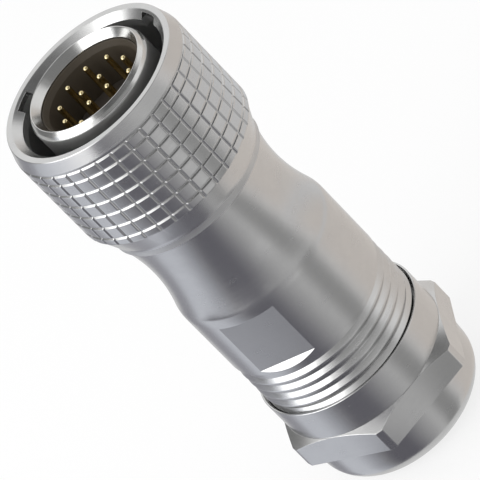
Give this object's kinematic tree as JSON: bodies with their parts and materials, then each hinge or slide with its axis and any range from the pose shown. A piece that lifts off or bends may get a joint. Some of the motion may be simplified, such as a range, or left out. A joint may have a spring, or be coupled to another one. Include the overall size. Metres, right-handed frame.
{
  "type": "circular bayonet cable plug",
  "caption": "Circular multi-pin cable plug with a knurled bayonet coupling ring, a waisted metal housing with wrench flats and a hexagonal gland nut for the cable.",
  "frame": {"origin": "centre of the flat rear end of the gland nut, on which the plug stands", "axes": "+Z along the plug's axis towards the mating face; +X and +Y across it"},
  "size_m": [0.0358, 0.0346, 0.0889],
  "materials": {
    "satin_nickel": "satin nickel plate on die-cast metal",
    "polished_nickel": "polished nickel plate",
    "black_insulator": "moulded, slightly glossy",
    "gold_plate": "gold plate, polished",
    "plated_steel": "plain plated",
    "spring_steel": "hardened and oiled",
    "black_rubber": "matte"
  },
  "bodies": {
    "plug": {"plug_shell": "polished_nickel", "insulator": "black_insulator", "insulator_liner": "black_insulator", "contact_pin_1": "gold_plate", "contact_pin_2": "gold_plate", "contact_pin_3": "gold_plate", "contact_pin_4": "gold_plate", "contact_pin_5": "gold_plate", "contact_pin_6": "gold_plate", "contact_pin_7": "gold_plate", "contact_pin_8": "gold_plate", "contact_pin_9": "gold_plate", "contact_pin_10": "gold_plate", "contact_pin_11": "gold_plate", "contact_pin_12": "gold_plate", "contact_pin_13": "gold_plate", "contact_pin_14": "gold_plate", "insert_retaining_ring": "plated_steel", "wave_washer": "spring_steel", "coupling_circlip": "spring_steel", "face_gasket": "black_rubber", "housing": "satin_nickel", "housing_o_ring": "black_rubber", "seal_seat_washer": "plated_steel", "cable_seal": "black_rubber"},
    "coupling": {"coupling_ring": "satin_nickel"},
    "gland_slider": {"thrust_washer": "plated_steel"},
    "nut": {"gland_nut": "satin_nickel"}
  },
  "joints": [
    {"name": "coupling_turn", "type": "hinge", "parent": "plug", "child": "coupling", "pos_m": [0, 0, 0.0707], "axis": [0, 0, 1], "continuous": true},
    {"name": "gland_travel", "type": "slide", "parent": "plug", "child": "gland_slider", "axis": [0, 0, 1], "range_m": [0, 0.004], "deforming": ["cable_seal"]},
    {"name": "gland_nut_turn", "type": "hinge", "parent": "gland_slider", "child": "nut", "pos_m": [0, 0, 0.0117], "axis": [0, 0, 1], "range_deg": [0, 720]}
  ],
  "couplings": [
    {"joint": "gland_travel", "follows": "gland_nut_turn", "m_per_rad": 0.0003183}
  ]
}
